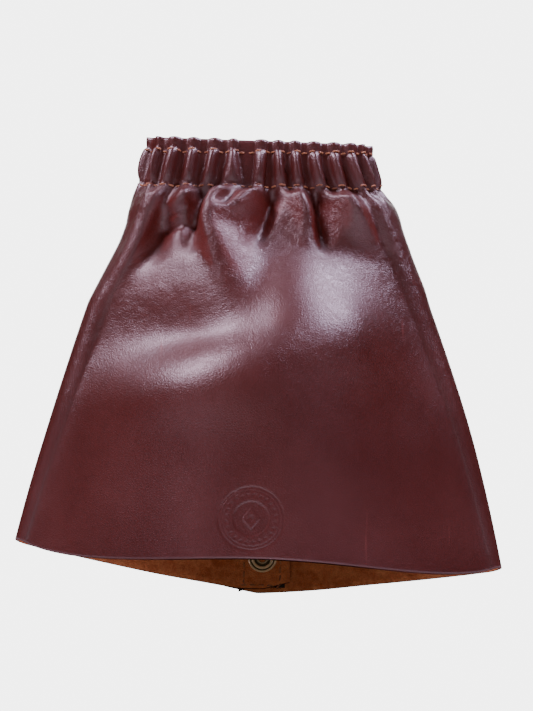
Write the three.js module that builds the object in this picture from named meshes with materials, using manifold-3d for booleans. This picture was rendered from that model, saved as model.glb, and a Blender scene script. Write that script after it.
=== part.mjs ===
// Short flared leather gaiter that wraps round an ankle and covers the top of a work boot.
// One wrap of leather is gathered on a sewn elastic at the top and closes behind, where an
// outer flap laps over an inner flap and is held by hook-and-loop tape and a press snap.
// Millimetres. +Z is up the leg, the front faces -Y, and the closure is at the back, +Y.
// The hem stands on z = 0, and x = 0, y = 0 is the middle of the overall width and depth.

import * as THREE from "three";
import { mergeVertices } from "three/addons/utils/BufferGeometryUtils.js";
import Module from "manifold-3d";

// ---- driving dimensions ----

const clearance = 0.3; // between any two pieces that touch on the real gaiter

// overall form of the wrap, measured to the middle of the leather
const cornerHalfWidth = 104; // at the two side corners of the hem
const bandHalfWidth = 54; // where the elastic draws the top in
const sideBulge = 4.6; // how far each side edge bows out past a straight line
const overallDepth = 72; // front of the belly to the crown of the snap cap
const bandDepth = 29; // front to back through the gathered band
const frontHeight = 196; // hem to rim, at the front
const cornerRise = 17; // hem height at the side corners
const rimTilt = 0.38; // rise of the rim per millimetre towards the back
const bellyTop = 85; // height where the belly starts to draw in towards the band

// leather
const leather = 1.8;
const cornerFoldRadius = 5; // of the side folds, at the hem
const bandFoldRadius = 14; // of the side folds, at the band
const frontFlatness = 1.3; // exponent of the belly's curve across the front
const uprightRise = 8; // from the lower stitched row up to where the sides turn upright
const roundOff = 0.07; // share of the side slope that rounds into the band's upright sides
const frontCurl = 5; // exponent of the front hem's climb to its corners
const backCurl = 1.3; // exponent of the back hem's climb to its corners
const innerHemGap = 1; // least height of the inner flap's hem
const leastBlend = 1; // least width over which a flap leaves the back plane

// elastic band and its two rows of stitching
const elasticThickness = 1.5;
const elasticWidth = 20.5;
const elasticStop = 2; // between the lap and the elastic's ends
const upperRowDrop = 5.2; // below the rim
const rowSpacing = 16.5;
const threadWidth = 0.8;
const threadHeight = 0.6;

// closure
const closureX = 2.5; // middle of the tapes and of the snap
const innerFlapReach = 12; // free edge of the inner flap past the closure's middle
const outerFlapReach = 16; // free edge of the outer flap past it, the other way
const flatHalfWidth = 20; // of the flat lap around the closure's middle
const flapBlend = 28; // width over which each flap eases back to the back plane
const hingeInset = 2; // of each flap's bend line, inside the curve of the side fold

// hook-and-loop tapes and their box stitching
const tapeWidth = 20;
const tapeThickness = 1.0;
const tapeLength = 150;
const boxStitchInset = 2.2; // from the tape's edges

// line 24 press snap
const snapHeight = 14; // centre above the hem
const postFlange = 12.4; // outer diameters
const capDiameter = 13;
const socketDiameter = 12;
const studBase = 10;
const studHead = 6.4;
const socketFit = 0.5; // radial, socket bore around the stud's head
const barrel = 4.6;
const postBore = 3.4;
const flangeThickness = 0.8;
const capHeight = 2.6;
const capEdge = 0.33; // share of the cap's height that is upright
const capShoulder = 0.85; // share of the cap's height at the rim of its crown
const discThickness = 0.6; // stud base

// mesh fineness
const frontSteps = 15; // each side of the middle
const foldSteps = 6;
const stripSteps = 2;
const heightSteps = 20;
const bandCrowding = 0.7; // how much closer the steps lie towards the rim
const flapSteps = 10;
const elasticSteps = 5;
const roundSteps = 24;

// ---- values that follow ----

const half = leather / 2;
const leatherGap = 2 * tapeThickness + 3 * clearance; // between the two flaps
const lapLift = (leatherGap + leather) / 2; // of each flap, off the back plane
const backPlane = overallDepth / 2 - capHeight - clearance - half - lapLift;
const bellyFront = -overallDepth / 2 + half;
const bandFront = backPlane - bandDepth;
const bandHeight = frontHeight - upperRowDrop - rowSpacing;
const bandStart = bandHeight + uprightRise; // height where the sides turn upright
const hingeFoot = cornerHalfWidth - 2 * cornerFoldRadius - hingeInset;
const hingeHead = bandHalfWidth - bandFoldRadius - hingeInset;
const halfSteps = frontSteps + foldSteps + stripSteps;
const tapeHole = Math.max(socketDiameter, studBase) / 2 + clearance;
const clamp = THREE.MathUtils.clamp;
const lerp = THREE.MathUtils.lerp;
const ease = (value) => THREE.MathUtils.smoothstep(value, 0, 1);

// ---- materials ----

const material = (color, roughness, metalness = 0) =>
  new THREE.MeshStandardMaterial({ color, roughness, metalness });
const leatherFinish = material(0x5a2322, 0.38);
const elasticFinish = material(0xd9d2c4, 0.9);
const threadFinish = material(0xb5713f, 0.75);
const tapeFinish = material(0x141414, 0.95);
const brassFinish = material(0xb9a684, 0.35, 0.9);

const root = new THREE.Group();

function addPiece(name, geometry, finish) {
  const mesh = new THREE.Mesh(geometry, finish);
  mesh.name = name;
  root.add(mesh);
  return mesh;
}

// ---- form of the wrap ----

// Half width, fold radius and front of the wrap at a height z. The sides slope in up to the
// band, and round off there into its upright sides.
function section(z) {
  const slope = (z - cornerRise) / (bandStart - cornerRise);
  const last = 1 - roundOff;
  const t = slope < last ? slope : 1 - roundOff * Math.exp((last - slope) / roundOff);
  const bow = 4 * sideBulge * t * (1 - t);
  const width = lerp(cornerHalfWidth, bandHalfWidth, t) + bow;
  const radius = lerp(cornerFoldRadius, bandFoldRadius, clamp(t, 0, 1));
  const drawn = ease((z - bellyTop) / (bandHeight - bellyTop));
  return { width, radius, front: lerp(bellyFront, bandFront, drawn) };
}

const hingeX = (z) => lerp(hingeFoot, hingeHead, z / bandStart);

// A point round the wrap at height z: k runs from 0 at the middle of the front, round the side
// fold, to halfSteps at the bend line, and negative k is the left side.
function roundPoint(k, z) {
  const { width, radius, front } = section(z);
  const side = Math.sign(k);
  const step = Math.abs(k);
  const straight = width - radius;
  if (step <= frontSteps) {
    const s = step / frontSteps;
    const edge = backPlane - 2 * radius;
    const y = edge - (edge - front) * (1 - s * s) ** frontFlatness;
    return [side * s * straight, y];
  }
  if (step <= frontSteps + foldSteps) {
    const turn = ((step - frontSteps) / foldSteps) * Math.PI;
    return [
      side * (straight + radius * Math.sin(turn)),
      backPlane - radius - radius * Math.cos(turn),
    ];
  }
  const along = (step - frontSteps - foldSteps) / stripSteps;
  const x = lerp(straight, hingeX(z) + clearance / 2, along);
  return [side * x, backPlane];
}

// Height of the hem and of the rim. The hem is level across the front, curls up to the side
// corners and falls again as a shallow vee behind. The rim rises towards the back.
const backHem = (x) => cornerRise * (Math.abs(x) / cornerHalfWidth) ** backCurl;

function hemHeight(k) {
  const [x] = roundPoint(k, cornerRise);
  const curl = Math.abs(k) < frontSteps + foldSteps / 2 ? frontCurl : backCurl;
  return cornerRise * (Math.abs(x) / cornerHalfWidth) ** curl;
}

function rimHeight(k) {
  const y = roundPoint(k, frontHeight)[1];
  return frontHeight + rimTilt * (y - bandFront);
}

// Flaps: side +1 is the outer flap, hinged on the right, and -1 the inner flap, on the left.
// Across a flap, u runs from 0 at its bend line to 1 at its free edge.
const backRim = frontHeight + rimTilt * bandDepth;

function flapPoint(side, u, z) {
  const reach = side > 0 ? outerFlapReach : innerFlapReach;
  const free = side * closureX - reach;
  const start = hingeX(z) - clearance / 2;
  const x = lerp(start, free, u);
  const flat = side * closureX + flatHalfWidth;
  const blendEnd = Math.min(start - leastBlend, flat + flapBlend);
  const lift = ease((blendEnd - x) / Math.max(blendEnd - flat, leastBlend));
  return [side * x, backPlane + side * lapLift * lift];
}

function flapHem(side, u) {
  const reach = side > 0 ? outerFlapReach : innerFlapReach;
  const x = lerp(hingeFoot, side * closureX - reach, u);
  return side > 0 ? backHem(x) : Math.max(backHem(x), innerHemGap);
}

// ---- solids ----

// A sheet between two offsets from a surface: place(u, v) gives its points for u and v from 0
// to 1, and the offsets run along its normal.
function sheetSolid(place, across, up, inner, outer) {
  const at = (u, v) => new THREE.Vector3(...place(clamp(u, 0, 1), clamp(v, 0, 1)));
  const reach = 0.002;
  const normalAt = (u, v) => {
    const alongU = at(u + reach, v).sub(at(u - reach, v));
    const alongV = at(u, v + reach).sub(at(u, v - reach));
    return alongU.cross(alongV).normalize();
  };
  const row = up + 1;
  const layer = (across + 1) * row;
  const positions = [];
  for (const offset of [outer, inner]) {
    for (let i = 0; i <= across; i++) {
      for (let j = 0; j <= up; j++) {
        const point = at(i / across, j / up);
        point.addScaledVector(normalAt(i / across, j / up), offset);
        positions.push(point.x, point.y, point.z);
      }
    }
  }
  const index = [];
  const quad = (a, b, c, d) => index.push(a, b, c, a, c, d);
  for (let i = 0; i < across; i++) {
    for (let j = 0; j < up; j++) {
      const a = i * row + j;
      quad(a, a + row, a + row + 1, a + 1);
      quad(layer + a, layer + a + 1, layer + a + row + 1, layer + a + row);
    }
    const foot = i * row;
    const head = foot + up;
    quad(layer + foot, layer + foot + row, foot + row, foot);
    quad(head, head + row, layer + head + row, layer + head);
  }
  const last = across * row;
  for (let j = 0; j < up; j++) {
    quad(j, j + 1, layer + j + 1, layer + j);
    quad(last + j + 1, last + j, layer + last + j, layer + last + j + 1);
  }
  const geometry = new THREE.BufferGeometry();
  geometry.setAttribute("position", new THREE.Float32BufferAttribute(positions, 3));
  geometry.setIndex(index);
  return geometry;
}

// A turned piece on the snap's axis. profile is a closed loop of [radius, y] pairs, anticlockwise
// with radius to the right and y up, and y is in the row frame.
function turned(profile) {
  const points = profile.map(([radius, y]) => new THREE.Vector2(radius, y));
  points.push(points[0].clone());
  const geometry = new THREE.LatheGeometry(points, roundSteps);
  geometry.translate(closureX, 0, snapHeight);
  return geometry;
}

// A flat plate or ring in the plane of the lap, from y = back to y = back + thickness.
function plate(shape, back, thickness) {
  const geometry = new THREE.ExtrudeGeometry(shape, {
    depth: thickness,
    bevelEnabled: false,
    curveSegments: roundSteps,
  });
  geometry.rotateX(Math.PI / 2);
  geometry.translate(closureX, back + thickness, 0);
  return geometry;
}

function rectangle(target, width, low, high) {
  target.moveTo(-width / 2, low);
  target.lineTo(width / 2, low);
  target.lineTo(width / 2, high);
  target.lineTo(-width / 2, high);
  target.closePath();
  return target;
}

const wasm = await Module();
wasm.setup();

function toSolid(geometry) {
  const bare = geometry.clone();
  bare.deleteAttribute("normal");
  bare.deleteAttribute("uv");
  const merged = mergeVertices(bare, 1e-4);
  return new wasm.Manifold(
    new wasm.Mesh({
      numProp: 3,
      vertProperties: new Float32Array(merged.attributes.position.array),
      triVerts: new Uint32Array(merged.index.array),
    }),
  );
}

function fromSolid(solid) {
  const mesh = solid.getMesh();
  const geometry = new THREE.BufferGeometry();
  geometry.setAttribute("position", new THREE.BufferAttribute(mesh.vertProperties, 3));
  geometry.setIndex(new THREE.BufferAttribute(mesh.triVerts, 1));
  return geometry;
}

// Punches the snap's hole through a flap.
function punched(geometry) {
  const punch = new THREE.CylinderGeometry(
    barrel / 2 + clearance,
    barrel / 2 + clearance,
    leather * 3,
    roundSteps,
  );
  const middle = new THREE.Box3().setFromBufferAttribute(geometry.attributes.position);
  punch.translate(closureX, (middle.min.y + middle.max.y) / 2, snapHeight);
  return fromSolid(toSolid(geometry).subtract(toSolid(punch)));
}

// ---- leather ----

// Both place functions run from one drop below the rim to another, or from the hem where no
// lower drop is given. Round the wrap they reach lastStep each way, and across a flap they
// run from a share of its width near the bend line to a share near its free edge.
function wrapPlace(lowDrop, highDrop, lastStep = halfSteps) {
  return (u, v) => {
    const k = (2 * u - 1) * lastStep;
    const rim = rimHeight(k);
    const low = lowDrop === undefined ? hemHeight(k) : rim - lowDrop;
    const z = lerp(low, rim - highDrop, v);
    return [...roundPoint(k, z), z];
  };
}

function flapPlace(side, lowDrop, highDrop, bendShare = 0, freeShare = 1) {
  return (u, v) => {
    const share = lerp(bendShare, freeShare, side > 0 ? u : 1 - u);
    const low = lowDrop === undefined ? flapHem(side, share) : backRim - lowDrop;
    const z = lerp(low, backRim - highDrop, v);
    return [...flapPoint(side, share, z), z];
  };
}

// The steps up the leather crowd towards the rim, where the form curves most.
function sheet(place, across, up) {
  const crowded = (u, v) => place(u, v * (1 + bandCrowding * (1 - v)));
  return sheetSolid(crowded, across, up, -half, half);
}

addPiece("front_panel", sheet(wrapPlace(undefined, 0), 2 * halfSteps, heightSteps), leatherFinish);
for (const [name, side] of [["inner_flap", -1], ["outer_flap", 1]]) {
  const flap = sheet(flapPlace(side, undefined, 0), flapSteps, heightSteps);
  addPiece(name, punched(flap), leatherFinish);
}

// ---- elastic, inside the band ----

const elasticTop = upperRowDrop - (elasticWidth - rowSpacing) / 2;
const elasticLow = elasticTop + elasticWidth;
const elasticOuter = -half - clearance;
const elasticSheet = (place, across) =>
  sheetSolid(place, across, elasticSteps, elasticOuter - elasticThickness, elasticOuter);

// On each flap the elastic stops short of the lap, where the two flaps lie together.
function elasticShare(side) {
  const reach = side > 0 ? outerFlapReach : innerFlapReach;
  const stop = Math.max(innerFlapReach, outerFlapReach, tapeWidth / 2) + 4 * clearance + elasticStop;
  const start = hingeX(backRim);
  return (start - side * closureX - stop) / (start - side * closureX + reach);
}

addPiece("elastic_front", elasticSheet(wrapPlace(elasticLow, elasticTop), 2 * halfSteps), elasticFinish);
for (const [name, side] of [["elastic_inner_flap", -1], ["elastic_outer_flap", 1]]) {
  const place = flapPlace(side, elasticLow, elasticTop, 0, elasticShare(side));
  addPiece(name, elasticSheet(place, flapSteps), elasticFinish);
}

// ---- the two rows of stitching that hold the elastic ----

const threadSheet = (place, across) =>
  sheetSolid(place, across, 1, half + clearance, half + clearance + threadHeight);

// The thread lies on the outer face, so it stops a stitch's gap short of each bend line.
const bendGap = threadHeight + 3 * clearance;
const lastThreadStep = halfSteps - stripSteps / 2;
const flapWidth = (side) => hingeX(backRim) + (side > 0 ? outerFlapReach : innerFlapReach);

for (const [rowName, drop] of [["upper", upperRowDrop], ["lower", upperRowDrop + rowSpacing]]) {
  const low = drop + threadWidth / 2;
  const high = drop - threadWidth / 2;
  const front = wrapPlace(low, high, lastThreadStep);
  addPiece(`${rowName}_stitching_front`, threadSheet(front, 2 * lastThreadStep), threadFinish);
  for (const [flapName, side] of [["inner_flap", -1], ["outer_flap", 1]]) {
    const place = flapPlace(side, low, high, bendGap / flapWidth(side));
    addPiece(`${rowName}_stitching_${flapName}`, threadSheet(place, flapSteps), threadFinish);
  }
}

// ---- hook-and-loop tapes, each punched for the snap, and their box stitching ----

const innerFace = backPlane - lapLift + half; // outer face of the inner flap
const outerFace = backPlane + lapLift - half; // flesh face of the outer flap

function tape() {
  const shape = rectangle(new THREE.Shape(), tapeWidth, 0, tapeLength);
  const hole = new THREE.Path();
  hole.absarc(0, snapHeight, tapeHole, 0, 2 * Math.PI, true);
  shape.holes.push(hole);
  return shape;
}

function boxStitch() {
  const width = tapeWidth - 2 * boxStitchInset;
  const low = boxStitchInset;
  const high = tapeLength - boxStitchInset;
  const shape = rectangle(new THREE.Shape(), width + threadWidth, low, high);
  const inside = rectangle(new THREE.Path(), width - threadWidth, low + threadWidth, high - threadWidth);
  shape.holes.push(inside);
  return shape;
}

addPiece("loop_tape", plate(tape(), innerFace + clearance, tapeThickness), tapeFinish);
addPiece("hook_tape", plate(tape(), outerFace - clearance - tapeThickness, tapeThickness), tapeFinish);
const fleshThread = innerFace - leather - clearance - threadHeight;
const backThread = outerFace + leather + clearance;
addPiece("loop_tape_stitching", plate(boxStitch(), fleshThread, threadHeight), threadFinish);
addPiece("hook_tape_stitching", plate(boxStitch(), backThread, threadHeight), threadFinish);

// ---- press snap: post and stud on the inner flap, socket and cap on the outer flap ----

const postBack = innerFace - leather - clearance;
const studFoot = innerFace + clearance;
const studTop = outerFace - 2 * clearance;
const socketFoot = studFoot + discThickness + clearance;
const barrelRadius = barrel / 2;

addPiece(
  "snap_post",
  turned([
    [postBore / 2, postBack - flangeThickness / 2],
    [barrelRadius, postBack - flangeThickness],
    [postFlange / 2 - flangeThickness, postBack - flangeThickness],
    [postFlange / 2, postBack - flangeThickness / 2],
    [postFlange / 2, postBack],
    [barrelRadius, postBack],
    [barrelRadius, innerFace],
    [postBore / 2, innerFace],
  ]),
  brassFinish,
);
addPiece(
  "snap_stud",
  turned([
    [0, studFoot],
    [studBase / 2, studFoot],
    [studBase / 2, studFoot + discThickness],
    [studHead / 2 - clearance, studFoot + discThickness],
    [studHead / 2, studTop - discThickness],
    [studHead / 2 - clearance, studTop],
    [0, studTop],
  ]),
  brassFinish,
);
addPiece(
  "snap_socket",
  turned([
    [studHead / 2 + socketFit, socketFoot],
    [socketDiameter / 2, socketFoot],
    [socketDiameter / 2, outerFace - clearance],
    [studHead / 2 + socketFit, outerFace - clearance],
  ]),
  brassFinish,
);
const capFoot = outerFace + leather + clearance;
addPiece(
  "snap_cap",
  turned([
    [0, outerFace - clearance / 2],
    [barrelRadius, outerFace - clearance / 2],
    [barrelRadius, capFoot],
    [capDiameter / 2, capFoot],
    [capDiameter / 2, capFoot + capHeight * capEdge],
    [capDiameter / 3, capFoot + capHeight * capShoulder],
    [0, capFoot + capHeight],
  ]),
  brassFinish,
);

export default root;
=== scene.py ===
import math

import bmesh
import bpy
import numpy as np
from mathutils import Matrix, Vector


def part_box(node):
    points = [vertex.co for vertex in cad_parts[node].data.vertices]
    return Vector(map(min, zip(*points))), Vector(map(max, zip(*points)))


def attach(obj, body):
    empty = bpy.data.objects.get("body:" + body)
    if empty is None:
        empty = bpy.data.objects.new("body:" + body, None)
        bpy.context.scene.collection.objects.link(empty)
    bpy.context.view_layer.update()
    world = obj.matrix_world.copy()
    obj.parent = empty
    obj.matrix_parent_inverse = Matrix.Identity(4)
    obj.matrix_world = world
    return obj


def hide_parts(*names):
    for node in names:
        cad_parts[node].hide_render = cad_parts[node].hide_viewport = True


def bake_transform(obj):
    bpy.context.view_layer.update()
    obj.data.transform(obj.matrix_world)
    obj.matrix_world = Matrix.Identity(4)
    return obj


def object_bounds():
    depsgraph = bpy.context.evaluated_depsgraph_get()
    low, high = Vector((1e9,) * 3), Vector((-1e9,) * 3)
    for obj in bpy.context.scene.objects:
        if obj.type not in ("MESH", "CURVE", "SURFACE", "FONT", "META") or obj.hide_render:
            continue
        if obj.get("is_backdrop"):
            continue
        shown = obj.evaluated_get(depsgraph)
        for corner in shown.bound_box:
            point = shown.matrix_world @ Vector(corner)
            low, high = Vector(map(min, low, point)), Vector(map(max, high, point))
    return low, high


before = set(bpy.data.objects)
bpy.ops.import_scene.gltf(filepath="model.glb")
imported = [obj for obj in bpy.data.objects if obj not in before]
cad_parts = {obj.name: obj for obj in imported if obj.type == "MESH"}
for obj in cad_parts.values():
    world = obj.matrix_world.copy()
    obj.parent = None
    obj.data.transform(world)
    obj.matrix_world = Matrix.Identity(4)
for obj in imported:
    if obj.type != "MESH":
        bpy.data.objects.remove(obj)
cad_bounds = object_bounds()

# ---- Form of the wrap ----
# The gaiter is one wrap of 1.8 mm leather: a flat back with the closure, a rounded fold down
# each side, and a belly that draws in to a gathered band. These give its plain form, in
# millimetres, round the band from the middle of the front and up from the hem.
MM = 0.001
LEATHER = 1.8
CORNER_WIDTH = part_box("front_panel")[1].x / MM - LEATHER / 2
CORNER_RISE = 17.0
BAND_WIDTH = 54.0
BAND_LEAN = -2.6  # sideways shift of the band over the hem
BAND_STOP = 8.0  # from the lower stitched row up to where the sides turn upright
FRONT_HEIGHT = 196.0
UPPER_ROW = 5.2  # below the rim
LOWER_ROW = 21.7
BAND_HEIGHT = FRONT_HEIGHT - LOWER_ROW
BAND_START = BAND_HEIGHT + BAND_STOP
BACK_PLANE = 29.85
BAND_FRONT = 0.85
BELLY_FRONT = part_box("front_panel")[0].y / MM + LEATHER / 2
BELLY_TOP = 85.0
RIM_TILT = 0.38
FOLD_RADII = (5.0, 14.0)  # of the side folds, at the hem and at the band
FRONT_ARC = BAND_WIDTH - FOLD_RADII[1]
FOLD_ARC = math.pi * FOLD_RADII[1]
STRIP_ARC = 9.0
HALF_ARC = FRONT_ARC + FOLD_ARC + STRIP_ARC
BEND_FOOT = 92.0  # the flaps' bend lines, at the hem and where the band starts
BEND_HEAD = 38.0
FLANK_SWELL = 18.4  # four times how far the sides swell past a straight taper
UPRIGHT_FROM = 0.93  # share of the way up the taper where the sides begin to turn upright


def ease(value):
    t = np.clip(value, 0, 1)
    return t * t * (3 - 2 * t)


def outline(z):
    """Half width, side fold radius and front of the wrap at height z."""
    slope = (z - CORNER_RISE) / (BAND_START - CORNER_RISE)
    left_over = 1 - UPRIGHT_FROM
    turned = 1 - left_over * np.exp((UPRIGHT_FROM - slope) / left_over)
    t = np.where(slope < UPRIGHT_FROM, slope, turned)
    width = CORNER_WIDTH + (BAND_WIDTH - CORNER_WIDTH) * t + FLANK_SWELL * t * (1 - t)
    radius = FOLD_RADII[0] + (FOLD_RADII[1] - FOLD_RADII[0]) * np.clip(t, 0, 1)
    drawn = ease((z - BELLY_TOP) / (BAND_HEIGHT - BELLY_TOP))
    return width, radius, BELLY_FRONT + (BAND_FRONT - BELLY_FRONT) * drawn


def bend_line(z):
    return BEND_FOOT + (BEND_HEAD - BEND_FOOT) * z / BAND_START


# The gathers draw the real band in a little more than the plain form, more on the right, and
# lift it: (height, how far in on the left, how far in on the right).
DRAWN_IN = [
    (0, 0, 0), (125, 0, 0), (134, 1.4, -0.6), (151, 3.9, 0), (160, 4.8, 1.2), (168, 4.2, 1.2),
    (176, 2.4, 3.0), (185, 2.4, 5.2), (193, 3.4, 5.6), (215, 3.8, 6.0),
]
BAND_LIFT = (2.0, 3.2)  # at the left and right ends of the band


def settle(x, z):
    """x and z of the plain form, moved to where the gathers pull them."""
    heights, left, right = np.array(DRAWN_IN, float).T
    pull = np.where(x < 0, np.interp(z, heights, left), np.interp(z, heights, right))
    width = outline(z)[0]
    moved = x * (1 - pull / width) + BAND_LEAN * ease((z - 60) / 110)
    lift = BAND_LIFT[0] + (BAND_LIFT[1] - BAND_LIFT[0]) * ease((x + 55) / 110)
    return moved, z + lift * ease((z - 90) / 80)


def gathered_arc(x):
    """The place round the band that settles at x, for the front of the band."""
    places = np.linspace(-60, 60, 961)
    level = np.full_like(places, BAND_HEIGHT + 10)
    return float(np.interp(x, settle(round_wrap(places, level)[0], level)[0], places))


def round_wrap(arc, z):
    """x and y of the wrap's middle surface, arc mm round the band from the front's middle."""
    width, radius, front = outline(z)
    side, step = np.sign(arc), np.abs(arc)
    straight = width - radius
    s = np.clip(step / FRONT_ARC, 0, 1)
    edge = BACK_PLANE - 2 * radius
    turn = np.clip((step - FRONT_ARC) / FOLD_RADII[1], 0, math.pi)
    along = np.clip((step - FRONT_ARC - FOLD_ARC) / STRIP_ARC, 0, 1)
    x = s * straight + radius * np.sin(turn)
    x = np.where(along > 0, straight + (bend_line(z) - straight) * along, x)
    y = edge - (edge - front) * (1 - s * s) ** 1.3
    y = np.where(turn > 0, BACK_PLANE - radius - radius * np.cos(turn), y)
    return side * x, y


HEM_RISE = {-1: 19.0, 1: 12.0}  # of the hem's corners, left and right
HEM_CURL = {-1: 1.1, 1: 1.25}  # how the back hem climbs to each corner
FRONT_CURL = {-1: 2.8, 1: 3.5}  # how the front hem climbs to each corner


def hem_height(arc):
    x = np.abs(round_wrap(arc, np.full_like(arc, CORNER_RISE))[0]) / CORNER_WIDTH
    rise = np.where(arc < 0, HEM_RISE[-1], HEM_RISE[1])
    front = np.where(arc < 0, FRONT_CURL[-1], FRONT_CURL[1])
    back = np.where(arc < 0, HEM_CURL[-1], HEM_CURL[1])
    return rise * x ** np.where(np.abs(arc) < FRONT_ARC + FOLD_ARC / 2, front, back)


def rim_height(arc):
    x, y = round_wrap(arc, np.full_like(arc, FRONT_HEIGHT))
    cut = (0.1 - 1.3 * x / BAND_WIDTH) * ease((BACK_PLANE - y) / 12)
    return FRONT_HEIGHT + RIM_TILT * (y - BAND_FRONT) + cut


BACK_RIM = FRONT_HEIGHT + RIM_TILT * (BACK_PLANE - BAND_FRONT)

# ---- Gathers and folds ----
# The elastic pulls the band into small puffed pleats, pinched flat under each stitched row.
# Below the lower row the fullness runs out in a few soft folds over the belly. Each pleat
# is (place round the band, half width), and each fold is a line in front view with a height.
FRONT_PLEATS = [
    (-55.0, 1.9), (-50, 2.1), (-43.3, 2.9), (-34.2, 2.9), (-25, 2.7), (-15.4, 3.4), (-3.1, 2.9),
    (5.4, 2.6), (12.9, 2.5), (21.9, 3.0), (30.8, 2.8), (38.6, 2.5), (43.6, 1.9), (47.3, 1.7),
]
SIDE_PLEATS = [(-86, 2.6), (-78, 2.8), (-70, 2.5), (-64, 2.2), (64, 2.3), (71, 2.6), (79, 2.8), (87, 2.6)]
PLEATS = [(gathered_arc(x), half) for x, half in FRONT_PLEATS] + SIDE_PLEATS
FLAP_PLEAT_SPACING = 7.6
PUFF = 2.9  # of a pleat midway between the rows
ROW_PUFF = 1.1  # of a pleat at the rows
PINCH = 0.5  # of the thread into the leather
BLOOM = 2.4  # of the belly just below the band


def pleat_lift(place, drop, pleats):
    """How far the pleats stand out, drop mm below the rim."""
    across = np.full_like(place, -0.35)
    between = np.clip((drop - UPPER_ROW) / (LOWER_ROW - UPPER_ROW), 0, 1)
    for middle, half_width in pleats:
        flare = 0.75 if 3.3 < half_width else 0.22 * math.sin(middle * 1.7)
        sway = 0.9 * math.sin(middle * 2.3) * (between - 0.5)
        off = np.abs(place - middle - sway) / (half_width * (1 + flare * (between - 0.5)))
        tube = np.sqrt(np.clip(1 - np.clip(off, 0, 1) ** 2.2, 0, 1)) - 0.35 * np.clip(off, 0, 1.25)
        across = np.maximum(across, tube)
    puff = ROW_PUFF + (PUFF - ROW_PUFF) * np.sin(math.pi * between) ** 0.6
    puff = np.where(drop < UPPER_ROW, ROW_PUFF + 0.3 * ease((UPPER_ROW - drop) / UPPER_ROW), puff)
    dying = ROW_PUFF * np.exp(-(((drop - LOWER_ROW) / 6) ** 2))
    puff = np.where(drop > LOWER_ROW, dying, puff)
    pinch = np.exp(-(((drop - UPPER_ROW) / 1.2) ** 2)) + np.exp(-(((drop - LOWER_ROW) / 1.3) ** 2))
    return across * puff - PINCH * pinch


# Folds of the front: line of (x, z) points, width on the left and right, height, and how much
# of the length it takes to rise and to die away.
FOLDS = [
    ([(-42, 184), (-49, 175), (-55, 165), (-59, 153), (-65, 140), (-74, 118)], 6, 6, 8.5, 0.04, 0.6),
    ([(-43, 181), (-45, 168), (-48, 156), (-53, 132)], 4.2, 6, -6.0, 0.06, 0.5),
    ([(-33.5, 184), (-34.5, 174), (-40, 162)], 5.6, 4.2, 7.0, 0.05, 0.3),
    ([(-27, 182), (-28.5, 168), (-31, 154), (-32, 134)], 3.2, 4.2, -6.5, 0.06, 0.5),
    ([(-14.5, 184), (-21, 173), (-25, 163), (-25, 152), (-21, 139), (-13, 112)], 3, 8, 9.0, 0.04, 0.7),
    ([(-10.5, 180), (-15.5, 168), (-19, 156)], 2.3, 2.3, -3.6, 0.1, 0.3),
    ([(-2.0, 184), (-5, 173), (-10, 163), (-18, 148)], 5.4, 4.2, 6.4, 0.04, 0.4),
    ([(4.0, 182), (2, 169), (-1.5, 157), (-7, 138)], 3.0, 3.6, -5.6, 0.06, 0.5),
    ([(10.5, 184), (14, 172), (18, 160), (21, 140)], 4.8, 3.2, 5.4, 0.04, 0.6),
    ([(22.5, 183), (22.5, 170), (24, 157), (28, 138)], 2.6, 3.2, -6.0, 0.06, 0.5),
    ([(30, 184), (34, 174), (38, 164), (43, 142)], 6.0, 7.5, 8.0, 0.04, 0.6),
    ([(40, 183), (45, 170), (51, 156), (58, 138)], 2.4, 3, -2.8, 0.08, 0.6),
    ([(45, 184), (50, 171), (57, 158), (64, 143), (73, 120)], 3.2, 5, 4.4, 0.05, 0.6),
    ([(-3, 150), (-4, 120), (-3, 76)], 13, 12, -3.4, 0.4, 0.5),
]
# Broad swells of the belly: middle, spread and height.
SWELLS = [
    ((-33, 73), (30, 18), 3.6),
    ((-34, 104), (28, 17), -8.5),
    ((3, 143), (13, 17), -2.6),
    ((-23, 150), (17, 18), 5.0),
    ((-38, 157), (9, 2.8), -3.0),
    ((36, 103), (18, 20), 4.2),
    ((58, 72), (16, 26), -1.5),
]


def smooth_line(points, steps=28):
    """Points spaced along a smooth curve through the given ones."""
    knots = np.array([points[0], *points, points[-1]], float)
    out = []
    for i in range(len(points) - 1):
        a, b, c, d = knots[i : i + 4]
        t = np.linspace(0, 1, steps // (len(points) - 1) + 1)[:, None]
        cubic = (2 * a - 5 * b + 4 * c - d) * t**2 + (3 * b - a - 3 * c + d) * t**3
        out.append(0.5 * (2 * b + (c - a) * t + cubic))
    return np.concatenate(out)


def fold_lift(x, z):
    """How far the folds and swells stand out, in front view."""
    lift = np.zeros_like(x)
    for points, left, right, height, rise, die in FOLDS:
        line = smooth_line(points)[::-1]
        middle = np.interp(z, line[:, 1], line[:, 0])
        tilt = np.gradient(line[:, 0]) / np.maximum(np.gradient(line[:, 1]), 0.01)
        lean_over = np.interp(z, line[:, 1], 1 / np.sqrt(1 + tilt**2))
        share = (line[-1, 1] - z) / (line[-1, 1] - line[0, 1])
        strength = ease(share / rise) * ease((1 - share) / die)
        spread = np.interp(share, (0, 1), (0.85, 1.5))
        across = (x - middle) * lean_over / spread
        width = np.where(across < 0, left, right)
        lift += height * strength * np.exp(-((across / width) ** 2))
    for (at_x, at_z), (wide, tall), height in SWELLS:
        lift += height * np.exp(-(((x - at_x) / wide) ** 2) - ((z - at_z) / tall) ** 2)
    return lift


# The plain stamped roundel by the hem: rings, a ring of dots and a lozenge, pressed in.
STAMP_AT = (-2.5, 16.5)
STAMP_RADIUS = 13.0
STAMP_DEPTH = 0.22


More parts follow.
